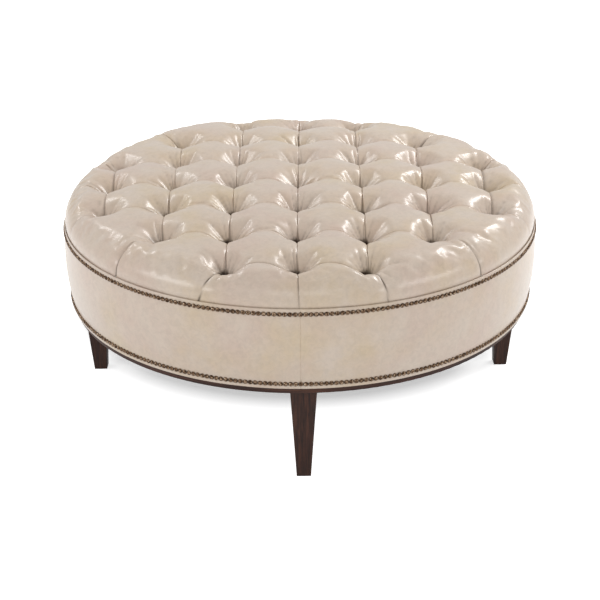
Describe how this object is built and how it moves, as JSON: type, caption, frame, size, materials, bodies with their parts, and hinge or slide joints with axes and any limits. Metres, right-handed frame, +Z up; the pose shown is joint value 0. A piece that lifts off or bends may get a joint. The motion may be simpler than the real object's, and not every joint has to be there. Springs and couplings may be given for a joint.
{
  "type": "tufted ottoman",
  "caption": "Round cocktail ottoman: crowned square-tufted leather top, smooth leather side band edged with nail rows, dark stained plinth and square tapered legs.",
  "frame": {"origin": "on the floor, under the middle of the drum", "axes": "+Z up, -Y towards the front, which has the band's front seam, +X to the right as seen from the front"},
  "size_m": [1.0752, 1.0752, 0.4847],
  "materials": {
    "stained_wood": "dark stained and satin lacquered hardwood",
    "plywood": "unfinished birch plywood",
    "frame_wood": "planed softwood",
    "steel": "zinc plated steel",
    "leather": "glossy pale taupe leather with a fine grain",
    "foam": "open cell upholstery foam",
    "batting": "polyester batting",
    "twine": "waxed tufting twine",
    "toggle_fibre": "pressed fibre discs",
    "antique_brass": "antique bronze finish with rubbed high spots",
    "nylon": "dark nylon",
    "black_cloth": "black spunbonded cloth"
  },
  "bodies": {
    "root": {"leg_right": "stained_wood", "leg_back": "stained_wood", "leg_left": "stained_wood", "leg_front": "stained_wood", "plinth_ring": "stained_wood", "leg_glides": "nylon", "hanger_bolts": "steel", "tee_nuts": "steel", "plinth_screws": "steel", "deck_screws": "steel", "hoop_screws": "steel", "bottom_ring": "plywood", "deck": "plywood", "top_hoop": "plywood", "side_board": "plywood", "rail_post_000a": "frame_wood", "rail_post_000b": "frame_wood", "rail_post_090a": "frame_wood", "rail_post_090b": "frame_wood", "rail_post_180a": "frame_wood", "rail_post_180b": "frame_wood", "rail_post_270a": "frame_wood", "rail_post_270b": "frame_wood", "deck_post_045": "frame_wood", "deck_post_135": "frame_wood", "deck_post_225": "frame_wood", "deck_post_315": "frame_wood", "deck_rail_front": "frame_wood", "deck_rail_back": "frame_wood", "deck_rail_right": "frame_wood", "deck_rail_left": "frame_wood", "side_band_right": "leather", "side_band_left": "leather", "tufted_cover": "leather", "side_padding": "batting", "foam_core": "foam", "tuft_ties": "twine", "tie_toggles": "toggle_fibre", "upper_nails": "antique_brass", "lower_nails": "antique_brass", "dust_cover": "black_cloth"}
  },
  "joints": []
}
